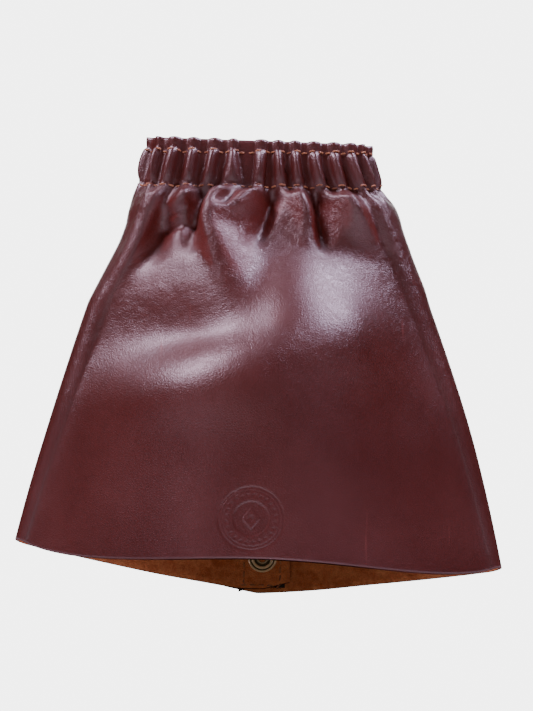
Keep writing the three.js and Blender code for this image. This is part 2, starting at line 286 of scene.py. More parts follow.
def stamp_lift(x, z):
    across, up = x - STAMP_AT[0], z - STAMP_AT[1]
    radius, angle = np.hypot(across, up), np.arctan2(up, across)
    press = np.exp(-(((radius - STAMP_RADIUS) / 0.5) ** 2))
    press += 0.7 * np.exp(-(((radius - 0.9 * STAMP_RADIUS) / 0.35) ** 2))
    dots = np.abs((angle / (2 * math.pi) * 24) % 1 - 0.5) * 2 * math.pi / 24 * radius
    press += 0.8 * np.exp(-((radius - 10) ** 2 + dots**2) / 0.4)
    disc = ease((7.6 - radius) / 0.7)
    lozenge = ease((5.0 - (np.abs(across) * 1.25 + np.abs(up))) / 0.8)
    heart = ease((1.9 - (np.abs(across) * 1.25 + np.abs(up))) / 0.6)
    press += disc * (0.95 - 0.95 * lozenge) + 0.8 * heart
    return -STAMP_DEPTH * np.clip(press, 0, 1.2)


# ---- Front ----
# The front is cut with the side folds and a narrow strip of the back, and each flap carries on
# from it at a bend line. The grain side is smooth, the flesh side is suede, and the edges are
# cut raw, so a mesh has three materials.


def normals_of(grid):
    across = np.gradient(grid, axis=0)
    up = np.gradient(grid, axis=1)
    normal = np.cross(across, up)
    return normal / np.maximum(np.linalg.norm(normal, axis=-1, keepdims=True), 1e-9)


def placed(name, data):
    """Puts a mesh, a lamp or a camera into the scene."""
    thing = bpy.data.objects.new(name, data)
    bpy.context.scene.collection.objects.link(thing)
    return thing


def made_plain(thing):
    """The plain mesh that an object's modifiers make."""
    bpy.context.view_layer.update()
    ready = thing.evaluated_get(bpy.context.evaluated_depsgraph_get())
    return bpy.data.meshes.new_from_object(ready)


def sheet_piece(name, outer, inner, materials, stride=1, values=()):
    """A closed sheet from two grids of points in mm. The inner grid is every stride-th one."""
    inner = inner[::stride, ::stride]
    cols, rows = outer.shape[:2]
    in_cols, in_rows = inner.shape[:2]
    points = np.concatenate([outer.reshape(-1, 3), inner.reshape(-1, 3)]) * MM
    out_index = np.arange(cols * rows).reshape(cols, rows)
    in_index = cols * rows + np.arange(in_cols * in_rows).reshape(in_cols, in_rows)

    def quads(index, turned):
        a, b = index[:-1, :-1].ravel(), index[1:, :-1].ravel()
        c, d = index[1:, 1:].ravel(), index[:-1, 1:].ravel()
        return np.stack([a, d, c, b] if turned else [a, b, c, d], axis=1).tolist()

    faces = quads(out_index, False) + quads(in_index, True)
    skins = [0] * ((cols - 1) * (rows - 1)) + [1] * ((in_cols - 1) * (in_rows - 1))
    edges = [
        (out_index[:, 0], in_index[:, 0]),
        (out_index[-1, :], in_index[-1, :]),
        (out_index[::-1, -1], in_index[::-1, -1]),
        (out_index[0, ::-1], in_index[0, ::-1]),
    ]
    for fine, coarse in edges:
        for i in range(len(coarse) - 1):
            run = fine[i * stride : (i + 1) * stride + 1][::-1].tolist()
            faces.append([int(coarse[i]), int(coarse[i + 1]), *run])
            skins.append(2)
    mesh = bpy.data.meshes.new(name)
    mesh.from_pydata(points.tolist(), [], faces)
    for material in materials:
        mesh.materials.append(material)
    mesh.polygons.foreach_set("material_index", np.array(skins, np.int32))
    mesh.polygons.foreach_set("use_smooth", np.array([s < 2 for s in skins], bool))
    for key, grid in values:
        whole = np.concatenate([grid.ravel(), grid[::stride, ::stride].ravel()])
        mesh.attributes.new(key, "FLOAT", "POINT").data.foreach_set("value", whole.astype(np.float32))
    mesh.update()
    return placed(name, mesh)


def node_material(name):
    """A new material, its tree, its shader and the place on the piece."""
    material = bpy.data.materials.new(name)
    material.use_nodes = True
    tree = material.node_tree
    place = tree.nodes.new("ShaderNodeTexCoord").outputs["Object"]
    return material, tree, tree.nodes["Principled BSDF"], place


def put(tree, kind, inputs=(), **settings):
    """Adds a node: settings are its properties, and inputs are (socket, value or output) pairs."""
    node = tree.nodes.new(kind)
    for key, value in settings.items():
        setattr(node, key, value)
    for socket, value in inputs:
        if isinstance(value, bpy.types.NodeSocket):
            tree.links.new(value, node.inputs[socket])
        else:
            node.inputs[socket].default_value = value
    return node


def maths(tree, operation, *values):
    """The output of an arithmetic node with these values or outputs."""
    return put(tree, "ShaderNodeMath", enumerate(values), operation=operation).outputs[0]


def bumped(tree, shader, height, **sizes):
    """Raises the shader's surface by a height: sizes are the bump's Distance and Strength."""
    bump = put(tree, "ShaderNodeBump", [("Height", height), *sizes.items()])
    tree.links.new(bump.outputs[0], shader.inputs["Normal"])


def noise(tree, place, scale, **more):
    """The value of a cloudy noise: more is its Detail and Roughness."""
    pairs = [("Vector", place), ("Scale", scale), *more.items()]
    return put(tree, "ShaderNodeTexNoise", pairs).outputs[0]


def mask(tree, value, low, high):
    """value eased from 0 at low to 1 at high."""
    pairs = [("Value", value), ("From Min", low), ("From Max", high)]
    return put(tree, "ShaderNodeMapRange", pairs, interpolation_type="SMOOTHSTEP").outputs[0]


def blend_colour(tree, factor, first, second):
    pairs = [(0, factor), (6, first), (7, second)]
    return put(tree, "ShaderNodeMix", pairs, data_type="RGBA").outputs[2]


def node_group(name, kind, given, shown):
    """A node tree, its inputs and its output node: given and shown are (name, kind) sockets."""
    tree = bpy.data.node_groups.new(name, kind)
    for way, sockets in (("INPUT", given), ("OUTPUT", shown)):
        for socket, sort in sockets:
            tree.interface.new_socket(socket, in_out=way, socket_type=f"NodeSocket{sort}")
    return tree, tree.nodes.new("NodeGroupInput").outputs, tree.nodes.new("NodeGroupOutput")


def grain_group():
    """Leather grain: a fine pebbled height and a height of long creases across soft folds."""
    tree, given, shown = node_group(
        "leather_grain",
        "ShaderNodeTree",
        [("Vector", "Vector"), ("Crease", "Float"), ("Grain Size", "Float")],
        [("Height", "Float")],
    )
    scale = maths(tree, "DIVIDE", 1.0, given["Grain Size"])
    pairs = [("Vector", given["Vector"]), ("Scale", scale)]
    cells = put(tree, "ShaderNodeTexVoronoi", pairs, feature="DISTANCE_TO_EDGE")
    pebble = mask(tree, cells.outputs["Distance"], 0.0, 0.3)
    warp = put(tree, "ShaderNodeTexNoise", [("Vector", given["Vector"]), ("Scale", 160.0)])
    pairs = [(0, warp.outputs["Color"]), (1, (0.008, 0.008, 0.008))]
    shift = put(tree, "ShaderNodeVectorMath", pairs, operation="MULTIPLY")
    pairs = [(0, given["Vector"]), (1, shift.outputs[0])]
    moved = put(tree, "ShaderNodeVectorMath", pairs, operation="ADD")
    pairs = [("Vector", moved.outputs[0]), ("Rotation", (0, 0.5, 0)), ("Scale", (420, 420, 1100))]
    stretched = put(tree, "ShaderNodeMapping", pairs)
    long_creases = noise(tree, stretched.outputs[0], 1.0, Detail=3.0, Roughness=0.6)
    ridge = maths(tree, "SUBTRACT", long_creases, 0.5)
    folded = maths(tree, "ABSOLUTE", ridge)
    valley = mask(tree, folded, 0.0, 0.12)
    sunk = maths(tree, "MULTIPLY", valley, given["Crease"])
    fine = maths(tree, "MULTIPLY", pebble, 0.3)
    tree.links.new(maths(tree, "ADD", sunk, fine), shown.inputs["Height"])
    return tree


def leather_material():
    """Oxblood pull-up leather: dark, redder where it is stretched, with a waxy sheen."""
    material, tree, shader, place = node_material("oxblood_leather")
    stretch = put(tree, "ShaderNodeAttribute", attribute_name="stretch").outputs["Fac"]
    crease = put(tree, "ShaderNodeAttribute", attribute_name="crease").outputs["Fac"]
    clouds = noise(tree, place, 28.0, Detail=4.0)
    cloud = mask(tree, clouds, 0.1, 0.9)
    dark, mid, red = (0.034, 0.0027, 0.0011, 1), (0.049, 0.0047, 0.0021, 1), (0.092, 0.008, 0.0036, 1)
    base = blend_colour(tree, cloud, dark, mid)
    base = blend_colour(tree, mask(tree, stretch, 0.6, 1.5), base, red)
    pairs = [("Vector", place), ("Rotation", (0, 0.12, 0)), ("Scale", (300, 60, 22))]
    streaks = put(tree, "ShaderNodeMapping", pairs)
    rubs = noise(tree, streaks.outputs[0], 1.0, Detail=2.0)
    rub = mask(tree, rubs, 0.7, 0.82)
    base = blend_colour(tree, maths(tree, "MULTIPLY", rub, 0.35), base, (0.2, 0.05, 0.04, 1))
    grain = put(tree, "ShaderNodeGroup", node_tree=grain_group())
    grain.inputs["Grain Size"].default_value = 0.0011
    tree.links.new(place, grain.inputs["Vector"])
    tree.links.new(crease, grain.inputs["Crease"])
    tree.links.new(base, shader.inputs["Base Color"])
    pairs = [("Value", clouds), ("From Min", 0.3), ("From Max", 0.75), ("To Min", 0.36), ("To Max", 0.44)]
    rough = put(tree, "ShaderNodeMapRange", pairs)
    tree.links.new(rough.outputs[0], shader.inputs["Roughness"])
    bumped(tree, shader, grain.outputs["Height"], Distance=0.00028, Strength=0.42)
    shader.inputs["Specular IOR Level"].default_value = 0.52
    return material


def suede_material(name, first, second):
    """The flesh side and the raw edges: short brown nap in drifting patches."""
    material, tree, shader, place = node_material(name)
    patches = noise(tree, place, 130.0, Detail=7.0, Roughness=0.75)
    nap = noise(tree, place, 1500.0, Detail=2.0)
    tone = blend_colour(tree, mask(tree, patches, 0.3, 0.7), first, second)
    darker = maths(tree, "MULTIPLY", nap, 0.6)
    tone = blend_colour(tree, darker, tone, (0.06, 0.018, 0.007, 1))
    tree.links.new(tone, shader.inputs["Base Color"])
    bumped(tree, shader, nap, Distance=0.0004, Strength=0.8)
    shader.inputs["Roughness"].default_value = 0.95
    shader.inputs["Specular IOR Level"].default_value = 0.15
    return material


leather_skins = [
    leather_material(),
    suede_material("suede_flesh", (0.4, 0.115, 0.046, 1), (0.68, 0.26, 0.115, 1)),
    suede_material("raw_edge", (0.05, 0.013, 0.008, 1), (0.09, 0.026, 0.014, 1)),
]

# The grid is fine through the stamp, and even elsewhere.
arcs = np.concatenate(
    [np.linspace(-HALF_ARC, -7, 105)[:-1], np.linspace(-7, 4.6, 78), np.linspace(4.6, HALF_ARC, 110)[1:]]
)
heights = np.concatenate(
    [np.linspace(0, 0.01, 3)[:-1], np.linspace(0.01, 0.16, 81), np.linspace(0.16, 1, 131)[1:]]
)


def front_surface(arc, z, offset=0.0):
    """Points of the front piece's middle surface, pushed out by its pleats, folds and stamp."""
    x, y = round_wrap(arc, z)
    drop = rim_height(arc) - z
    x, risen = settle(x, z)
    at_seam = ease((HALF_ARC - np.abs(arc)) / 5)
    pleats = pleat_lift(arc, drop, PLEATS)
    base = np.stack([x, y, risen + 0.45 * pleats * at_seam * ease(drop / UPPER_ROW)], axis=-1)
    normal = normals_of(np.stack([x, y, risen], axis=-1))
    facing = ease((FRONT_ARC + 12 - np.abs(arc)) / 18)
    below = ease((drop - LOWER_ROW) / 7.5)
    folds = fold_lift(x, risen) * facing * below
    bloom = BLOOM * np.exp(-(((drop - LOWER_ROW - 12) / 11) ** 2)) * below
    lift = (pleats + folds + bloom) * at_seam + stamp_lift(x, risen) * facing
    return base + normal * (lift + offset)[..., None], normal, drop, folds


arc, share = np.meshgrid(arcs, heights, indexing="ij")
hem, rim = hem_height(arc), rim_height(arc)
points, normal, drop, folds = front_surface(arc, hem + (rim - hem) * share)
slope = np.abs(np.gradient(folds, axis=0) / np.gradient(arcs)[:, None])
stretch = np.clip(slope * 1.3, 0, 1) * ease((drop - LOWER_ROW) / 10)
near_band = np.exp(-(((drop - LOWER_ROW - 18) / 24) ** 2)) * ease((drop - 2) / 6)
crease = np.clip(near_band * 0.65 + 0.22 * np.exp(-(((drop - 95) / 40) ** 2)), 0, 1)
front_panel = sheet_piece(
    "front_panel_leather",
    points + normal * LEATHER / 2,
    points - normal * LEATHER / 2,
    leather_skins,
    stride=2,
    values=[("stretch", stretch), ("crease", crease)],
)
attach(front_panel, "wrap")
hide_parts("front_panel")

# ---- Flaps ----
# The two halves of the back, carrying on from the front at the bend lines. The inner flap comes
# from the left and the outer flap laps over it from the right, with the tapes between them.
CLOSURE_X = 2.5  # the middle of the lap
LAP_LIFT = 2.35  # of each flap from the back's plane, to leave room for the tapes
FLAT_LAP = 20.0  # how far from the closure each flap stays flat
FLAP_BLEND = 28.0  # over which it comes back to the plane
REACH = {1: 16.0, -1: 12.0}  # of each flap past the closure
FLAPS = (("inner_flap", -1), ("outer_flap", 1))


def flap_hem(side, share):
    free = side * CLOSURE_X - REACH[side]
    seam = bend_line(CORNER_RISE)
    foot = seam + (free - seam) * share
    hem = HEM_RISE[side] * (np.abs(foot) / CORNER_WIDTH) ** HEM_CURL[side] + 0.13 * np.maximum(-foot, 0)
    return hem if side > 0 else np.maximum(hem, 0.9)


def flap_surface(side, share, z, offset=0.0, puffed=True):
    """Points of a flap, from its bend line to its free edge: side 1 is the outer flap."""
    free = side * CLOSURE_X - REACH[side]
    start = bend_line(z)
    x = start + (free - start) * share
    flat = side * CLOSURE_X + FLAT_LAP
    blend_end = np.minimum(start - 1, flat + FLAP_BLEND)
    apart = ease((blend_end - x) / np.maximum(blend_end - flat, 1))
    y = BACK_PLANE + side * LAP_LIFT * apart
    moved, risen = settle(side * x, z)
    base = np.stack([moved, y, risen], axis=-1)
    normal = normals_of(base) * side
    drop = BACK_RIM - z
    count = int((BEND_HEAD - 4 - free - 5) / FLAP_PLEAT_SPACING)
    pleats = [(free + 5 + i * FLAP_PLEAT_SPACING, 2.7 + 0.3 * math.sin(3 * i)) for i in range(count + 1)]
    lift = pleat_lift(x, drop, pleats) * np.where(apart > 0.5, 0.3, 0.6 - 0.6 * apart)
    wave = 0.5 * np.sin(x / 9) * ease((drop - 20) / 12) * ease((90 - drop) / 50) * (1 - apart)
    at_seam = ease((start - x) / 5)
    lift = (lift + wave) * at_seam if puffed else 0 * lift
    return base + normal * (lift + offset)[..., None], normal, drop


def bend_with(piece):
    """Bakes a piece of a flap into its place in the scene, as plain mesh data."""
    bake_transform(piece)


# Each flap's grain side runs on a little under the front's, so no gap shows at the bend line.
TUCK = 0.05
OVERRUN = 0.007  # of the flap's width
across_flap = np.concatenate([[-OVERRUN], np.linspace(0, 1, 122)])
for body, side in FLAPS:
    share, up = np.meshgrid(across_flap, heights, indexing="ij")
    hem = flap_hem(side, share)
    points, normal, drop = flap_surface(side, share, hem + (BACK_RIM - hem) * up)
    crease = np.clip(np.exp(-(((drop - 30) / 20) ** 2)) * 0.7, 0, 1)
    outer, inner = points + normal * LEATHER / 2, points - normal * LEATHER / 2
    outer[0] -= normal[0] * TUCK
    inner[0] += normal[0] * TUCK
    if side < 0:
        outer, inner, crease = outer[::-1], inner[::-1], crease[::-1]
    flap = sheet_piece(
        f"{body}_leather",
        outer,
        inner,
        leather_skins,
        stride=2,
        values=[("stretch", crease * 0.1), ("crease", crease)],
    )
    bend_with(flap)
    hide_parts(body)

# ---- Elastic ----
# A flat woven elastic, 20.5 mm wide, lies on the flesh side behind the gathers. It is stretched
# while both rows are sewn through it, and it gathers the leather as it draws back.
ELASTIC_WIDTH = 20.5
ELASTIC_TOP = (UPPER_ROW + LOWER_ROW - ELASTIC_WIDTH) / 2
ELASTIC_GAP = 1.45  # from the leather's middle to the elastic's outer face
ELASTIC_THICKNESS = 1.5
LAP_STOP = 19.2  # from the closure's middle to the ends of the elastic


def elastic_material():
    """Cream knitted elastic: fine lengthwise ribs with painted shade darkening their furrows, slightly
    soiled.
    """
    material, tree, shader, place = node_material("cream_elastic")
    pairs = [("Vector", place), ("Scale", 240.0), ("Distortion", 0.4)]
    ribs = put(tree, "ShaderNodeTexWave", pairs, bands_direction="Z")
    dirt = noise(tree, place, 70.0, Detail=4.0)
    clean, soiled = (0.56, 0.47, 0.34, 1), (0.4, 0.31, 0.2, 1)
    cream = blend_colour(tree, mask(tree, dirt, 0.35, 0.75), clean, soiled)
    # The low parts of the ribs, where the bump sinks, are coloured dark brown: painted shade in the
    # furrows.
    shade = maths(tree, "MULTIPLY", ribs.outputs["Fac"], 0.5)
    ribs_with_painted_shade = blend_colour(tree, shade, (0.24, 0.19, 0.13, 1), cream)
    tree.links.new(ribs_with_painted_shade, shader.inputs["Base Color"])
    bumped(tree, shader, ribs.outputs["Fac"], Distance=0.0003)
    shader.inputs["Roughness"].default_value = 0.85
    return material


elastic_finish = elastic_material()


def elastic_strip(name, surface, places, rim, side):
    drops = np.linspace(ELASTIC_TOP + ELASTIC_WIDTH, ELASTIC_TOP, 15)
    place, drop = np.meshgrid(places, drops, indexing="ij")
    rims = rim(place) if callable(rim) else rim
    outer = surface(place, rims - drop, offset=-ELASTIC_GAP)
    inner = surface(place, rims - drop, offset=-ELASTIC_GAP - ELASTIC_THICKNESS)
    if side < 0:
        outer, inner = outer[::-1], inner[::-1]
    strip = sheet_piece(name, outer, inner, [elastic_finish] * 3)
    if side == 0:
        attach(strip, "wrap")
    else:
        bend_with(strip)
    return strip


def plain_front(arc, z, offset):
    x, y = round_wrap(arc, z)
    x, risen = settle(x, z)
    base = np.stack([x, y, risen], axis=-1)
    crimp = 0.15 * np.sin(arc * 2.6)
    return base + normals_of(base) * (crimp + offset)[..., None]


def plain_rim(arc):
    y = round_wrap(arc, np.full_like(arc, FRONT_HEIGHT))[1]
    return FRONT_HEIGHT + RIM_TILT * (y - BAND_FRONT)


all_round = np.linspace(-HALF_ARC, HALF_ARC, 361)
strip = elastic_strip("elastic_band_front", plain_front, all_round, plain_rim, 0)
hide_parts("elastic_front")
for body, side in FLAPS:
    width = bend_line(BACK_RIM) - side * CLOSURE_X + REACH[side]
    stop = (bend_line(BACK_RIM) - side * CLOSURE_X - LAP_STOP) / width
    plain_flap = lambda share, z, offset, side=side: flap_surface(side, share, z, offset, puffed=False)[0]
    places = np.linspace(0, stop, 41)
    strip = elastic_strip(f"elastic_band_{body}", plain_flap, places, BACK_RIM, side)
    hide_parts(f"elastic_{body}")

# ---- Stitching ----
# Bonded thread in tan orange. Two rows of running stitch hold the elastic, and a long box
# holds each tape. Every stitch lies on the leather and dips into its needle holes.
STITCH_PITCH = 3.75
STITCH_LENGTH = 2.7
THREAD = 0.74


def thread_material():
    """Waxed tan thread, its plies seen as fine slanting lines, darker where it is handled."""
    material, tree, shader, place = node_material("tan_thread")
    slanted = put(tree, "ShaderNodeMapping", [("Vector", place), ("Rotation", (0, 0.9, 0))])
    plies = put(tree, "ShaderNodeTexWave", [("Vector", slanted.outputs[0]), ("Scale", 700.0)])
    wear = noise(tree, place, 160.0, Detail=3.0)
    fresh, handled = (0.4, 0.17, 0.075, 1), (0.24, 0.09, 0.042, 1)
    tan = blend_colour(tree, mask(tree, wear, 0.35, 0.7), fresh, handled)
    shade = maths(tree, "MULTIPLY", plies.outputs["Fac"], 0.35)
    plied = blend_colour(tree, shade, tan, (0.1, 0.026, 0.012, 1))
    tree.links.new(plied, shader.inputs["Base Color"])
    bumped(tree, shader, plies.outputs["Fac"], Distance=0.00015)
    shader.inputs["Roughness"].default_value = 0.55
    return material


def which_way_out(tree):
    """The outward direction that each point carries."""
    pairs = [("Name", "out")]
    return put(tree, "GeometryNodeInputNamedAttribute", pairs, data_type="FLOAT_VECTOR").outputs[0]


def bent_rod(tree, start, middle, end, steps, radius, sides):
    """A closed round rod along a curve that bends once."""
    pairs = [("Resolution", steps), ("Start", start), ("Middle", middle), ("End", end)]
    bend = put(tree, "GeometryNodeCurveQuadraticBezier", pairs)
    ring = put(tree, "GeometryNodeCurvePrimitiveCircle", [("Resolution", sides), ("Radius", radius)])
    pairs = [("Curve", bend.outputs[0]), ("Profile Curve", ring.outputs[0]), ("Fill Caps", True)]
    return put(tree, "GeometryNodeCurveToMesh", pairs).outputs[0]


def turned_at_random(tree, turn, least, most, seed):
    """A turn with a small random turn of its own added."""
    pairs = [("Min", least), ("Max", most), ("Seed", seed)]
    chance = put(tree, "FunctionNodeRandomValue", pairs, data_type="FLOAT_VECTOR")
    pairs = [(0, turn), (1, chance.outputs[0])]
    return put(tree, "FunctionNodeRotateRotation", pairs, rotation_space="LOCAL").outputs[0]


def stitch_tree():
    """Lays one rounded stitch at each pitch along a path that knows which way is out."""
    lengths = [("Pitch", "Float"), ("Length", "Float"), ("Thread", "Float")]
    tree, given, shown = node_group(
        "running_stitch",
        "GeometryNodeTree",
        [("Geometry", "Geometry"), *lengths, ("Material", "Material")],
        [("Geometry", "Geometry")],
    )
    path = put(tree, "GeometryNodeMeshToCurve", [("Mesh", given["Geometry"])])
    pairs = [("Curve", path.outputs[0]), ("Length", given["Pitch"])]
    spaced = put(tree, "GeometryNodeResampleCurve", pairs, mode="LENGTH")
    ahead = put(tree, "GeometryNodeInputTangent").outputs[0]
    pairs = [(0, ahead), (1, which_way_out(tree))]
    turn = put(tree, "FunctionNodeAxesToRotation", pairs, primary_axis="X", secondary_axis="Z")
    turned_twice = turned_at_random(tree, turn.outputs[0], (-0.05, -0.05, -0.09), (0.05, 0.05, 0.09), 5)
    half = maths(tree, "MULTIPLY", given["Length"], 0.5)
    back = maths(tree, "MULTIPLY", half, -1.0)
    sunk = maths(tree, "MULTIPLY", given["Thread"], -0.75)
    raised = maths(tree, "MULTIPLY", given["Thread"], 1.15)
    start = put(tree, "ShaderNodeCombineXYZ", [("X", back), ("Z", sunk)]).outputs[0]
    middle = put(tree, "ShaderNodeCombineXYZ", [("Z", raised)]).outputs[0]
    end = put(tree, "ShaderNodeCombineXYZ", [("X", half), ("Z", sunk)]).outputs[0]
    thick = maths(tree, "MULTIPLY", given["Thread"], 0.5)
    stitch = bent_rod(tree, start, middle, end, 8, thick, 10)
    return set_out(tree, given, shown, spaced.outputs[0], stitch, turned_twice)


def set_out(tree, given, shown, points, shape, turn):
    """Ends a tree: the shape on every point, made real and given its material."""
    pairs = [("Points", points), ("Instance", shape), ("Rotation", turn)]
    laid = put(tree, "GeometryNodeInstanceOnPoints", pairs)
    real = put(tree, "GeometryNodeRealizeInstances", [("Geometry", laid.outputs[0])])
    pairs = [("Geometry", real.outputs[0]), ("Material", given["Material"])]
    finished = put(tree, "GeometryNodeSetMaterial", pairs)
    tree.links.new(finished.outputs[0], shown.inputs[0])
    return tree


def grown(name, points, edges, outs, tree, values, smooth=True):
    """Runs a tree on points in mm with outward directions and keeps the plain mesh it makes."""
    mesh = bpy.data.meshes.new(name)
    mesh.from_pydata((np.asarray(points) * MM).tolist(), edges, [])
    out = mesh.attributes.new("out", "FLOAT_VECTOR", "POINT")
    out.data.foreach_set("vector", np.asarray(outs, np.float32).ravel())
    seed = placed(name, mesh)
    grower = seed.modifiers.new("growth", "NODES")
    grower.node_group = tree
    for item in tree.interface.items_tree:
        if item.in_out == "INPUT" and item.name in values:
            grower[item.identifier] = values[item.name]
    plain = made_plain(seed)
    bpy.data.objects.remove(seed)
    plain.polygons.foreach_set("use_smooth", np.full(len(plain.polygons), smooth))
    return placed(name, plain)


running_stitch = stitch_tree()
thread_finish = thread_material()
stitch_sizes = {
    "Pitch": STITCH_PITCH * MM,
    "Length": STITCH_LENGTH * MM,
    "Thread": THREAD * MM,
    "Material": thread_finish,
}


def stitch_line(name, points, outs):
    edges = [(i, i + 1) for i in range(len(points) - 1)]
    piece = grown(name, points, edges, outs, running_stitch, stitch_sizes)
    return piece


def on_row(surface, places, level):
    """The middle line of a narrow strip of surface, and its outward directions."""
    place, nudge = np.meshgrid(places, (-0.6, 0.0, 0.6), indexing="ij")
    points, normal = surface(place, level(place) + nudge, offset=LEATHER / 2 + 0.1)[:2]
    line = points[:, 1]
    taut = line.copy()
    taut[2:-2] = (line[:-4] + 2 * line[1:-3] + 3 * line[2:-2] + 2 * line[3:-1] + line[4:]) / 9
    return taut, normal[:, 1]


for row, row_drop in (("upper", UPPER_ROW), ("lower", LOWER_ROW)):
    spread = np.linspace(-HALF_ARC + 2.5, HALF_ARC - 2.5, 421)
    line, outs = on_row(front_surface, spread, lambda arc: plain_rim(arc) - row_drop)
    stitches = stitch_line(f"{row}_stitches_front", line, outs)
    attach(stitches, "wrap")
    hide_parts(f"{row}_stitching_front")
    for body, side in FLAPS:
        surface = lambda share, z, offset, side=side: flap_surface(side, share, z, offset)
        level = lambda share: np.full_like(share, BACK_RIM - row_drop)
        line, outs = on_row(surface, np.linspace(0.03, 0.96, 141), level)
        stitches = stitch_line(f"{row}_stitches_{body}", line, outs)
        bend_with(stitches)
        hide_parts(f"{row}_stitching_{body}")

# ---- Hook-and-loop tapes ----
# Black nylon tape, 20 mm wide, loops on the inner flap and hooks on the outer flap. Each has a
# woven selvage down both edges, a punched hole for the snap, and a sewn box.
TAPE_WIDTH = 20.0
TAPE_LENGTH = 150.0
TAPE_GROUND = 0.5  # thickness of the woven ground under the nap
TAPE_GAP = 0.3
SNAP_HEIGHT = 14.0
TAPE_HOLE = 6.6
SELVAGE = 1.8
NAP_HEIGHT = 0.55
INNER_FACE = BACK_PLANE - LAP_LIFT + LEATHER / 2
OUTER_FACE = BACK_PLANE + LAP_LIFT - LEATHER / 2


def tape_material():
    """Black nylon: a fine woven ground with dusty high spots."""
    material, tree, shader, place = node_material("black_nylon_tape")
    pairs = [("Vector", place), ("Scale", 1500.0), ("Randomness", 0.25)]
    weave = put(tree, "ShaderNodeTexVoronoi", pairs)
    dust = noise(tree, place, 120.0, Detail=5.0)
    clean, dusty = (0.006, 0.006, 0.0065, 1), (0.028, 0.027, 0.026, 1)
    black = blend_colour(tree, mask(tree, dust, 0.5, 0.8), clean, dusty)
    tree.links.new(black, shader.inputs["Base Color"])
    bumped(tree, shader, weave.outputs["Distance"], Distance=0.0003)
    shader.inputs["Roughness"].default_value = 0.7
    shader.inputs["Specular IOR Level"].default_value = 0.3
    return material


tape_finish = tape_material()


def settled_plane(x, z, y):
    moved, risen = settle(x, z)
    return np.stack([moved, np.full_like(moved, y), risen], axis=-1)


def tape(name, low_y, high_y):
    """A tape between two planes, punched for the snap."""
    x, z = np.meshgrid(
        CLOSURE_X + np.linspace(-TAPE_WIDTH / 2, TAPE_WIDTH / 2, 21),
        np.linspace(0, 1, 76),
        indexing="ij",
    )
    foot = 0.1 + 2.2 * ease((x - CLOSURE_X + TAPE_WIDTH / 2) / 5)  # not cut quite square
    z = foot + (TAPE_LENGTH - foot) * z
    far, near = settled_plane(x, z, high_y), settled_plane(x, z, low_y)
    strip = sheet_piece(name, far[::-1], near[::-1], [tape_finish] * 3)
    punch_mesh = bpy.data.meshes.new("punch")
    shape = bmesh.new()
    hole = TAPE_HOLE * MM
    bmesh.ops.create_cone(shape, segments=64, radius1=hole, radius2=hole, depth=0.01, cap_ends=True)
    turn = Matrix.Rotation(math.pi / 2, 4, "X")
    place = Matrix.Translation(Vector((CLOSURE_X, (low_y + high_y) / 2, SNAP_HEIGHT)) * MM)
    shape.transform(place @ turn)
    shape.to_mesh(punch_mesh)
    shape.free()
    punch = placed("punch", punch_mesh)
    cut = strip.modifiers.new("punch", "BOOLEAN")
    cut.object = punch
    cut.solver = "EXACT"
    punched = made_plain(strip)
    strip.modifiers.clear()
    strip.data = punched
    bpy.data.objects.remove(punch)
    return strip


def nap_tree(name, hooked):
    """Sets one bent monofilament, or one open loop, on each point."""
    sizes = [("Height", "Float"), ("Filament", "Float"), ("Seed", "Int")]
    tree, given, shown = node_group(
        name,
        "GeometryNodeTree",
        [("Geometry", "Geometry"), *sizes, ("Material", "Material")],
        [("Geometry", "Geometry")],
    )
    wide = maths(tree, "MULTIPLY", given["Height"], 0.55 if hooked else 0.7)
    tall = maths(tree, "MULTIPLY", given["Height"], 2.0)
    low = maths(tree, "MULTIPLY", given["Height"], 0.35 if hooked else -0.1)
    start = put(tree, "ShaderNodeCombineXYZ", [("X", 0.0)]).outputs[0]
    middle = put(tree, "ShaderNodeCombineXYZ", [("Z", tall)]).outputs[0]
    end = put(tree, "ShaderNodeCombineXYZ", [("X", wide), ("Z", low)]).outputs[0]
    strand = bent_rod(tree, start, middle, end, 5, given["Filament"], 4)
    stand = put(tree, "FunctionNodeAlignRotationToVector", [("Vector", which_way_out(tree))], axis="Z")
    swing = 0.25 if hooked else 3.1
    least, most = (-0.1, -0.1, -swing), (0.1, 0.1, swing)
    turned_twice = turned_at_random(tree, stand.outputs[0], least, most, given["Seed"])
    return set_out(tree, given, shown, given["Geometry"], strand, turned_twice)


def nap_points(y, step, jitter, seed):
    """Points over a tape's face inside its selvages and clear of the hole."""
    chance = np.random.default_rng(seed)
    half = TAPE_WIDTH / 2 - SELVAGE
    along = np.arange(SELVAGE, TAPE_LENGTH - SELVAGE, step)
    x, z = np.meshgrid(np.arange(-half, half + 0.01, step), along)
    x = CLOSURE_X + x.ravel() + chance.uniform(-jitter, jitter, x.size)
    z = z.ravel() + chance.uniform(-jitter, jitter, z.size)
    clear = np.hypot(x - CLOSURE_X, z - SNAP_HEIGHT) > TAPE_HOLE + 0.6
    return settled_plane(x[clear], z[clear], y)


LOOP_BASE = INNER_FACE + TAPE_GAP + TAPE_GROUND
HOOK_BASE = OUTER_FACE - TAPE_GAP - TAPE_GROUND
tapes = [
    ("loop", "inner_flap", INNER_FACE + TAPE_GAP, LOOP_BASE, LOOP_BASE, 1, 1.15, 0.45, 0.07),
    ("hook", "outer_flap", HOOK_BASE, OUTER_FACE - TAPE_GAP, HOOK_BASE, -1, 1.35, 0.0, 0.1),
]
for kind, body, low_y, high_y, nap_y, out, step, jitter, filament in tapes:
    strip = tape(f"{kind}_tape_ground", low_y, high_y)
    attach(strip, body)
    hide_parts(f"{kind}_tape")
    points = nap_points(nap_y, step, jitter, 7)
    sizes = {"Height": NAP_HEIGHT * MM, "Filament": filament * MM, "Seed": 11, "Material": tape_finish}
    outs = np.tile((0.0, out, 0.0), (len(points), 1))
    nap = grown(f"{kind}_tape_nap", points, [], outs, nap_tree(f"{kind}_nap", kind == "hook"), sizes)
    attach(nap, body)

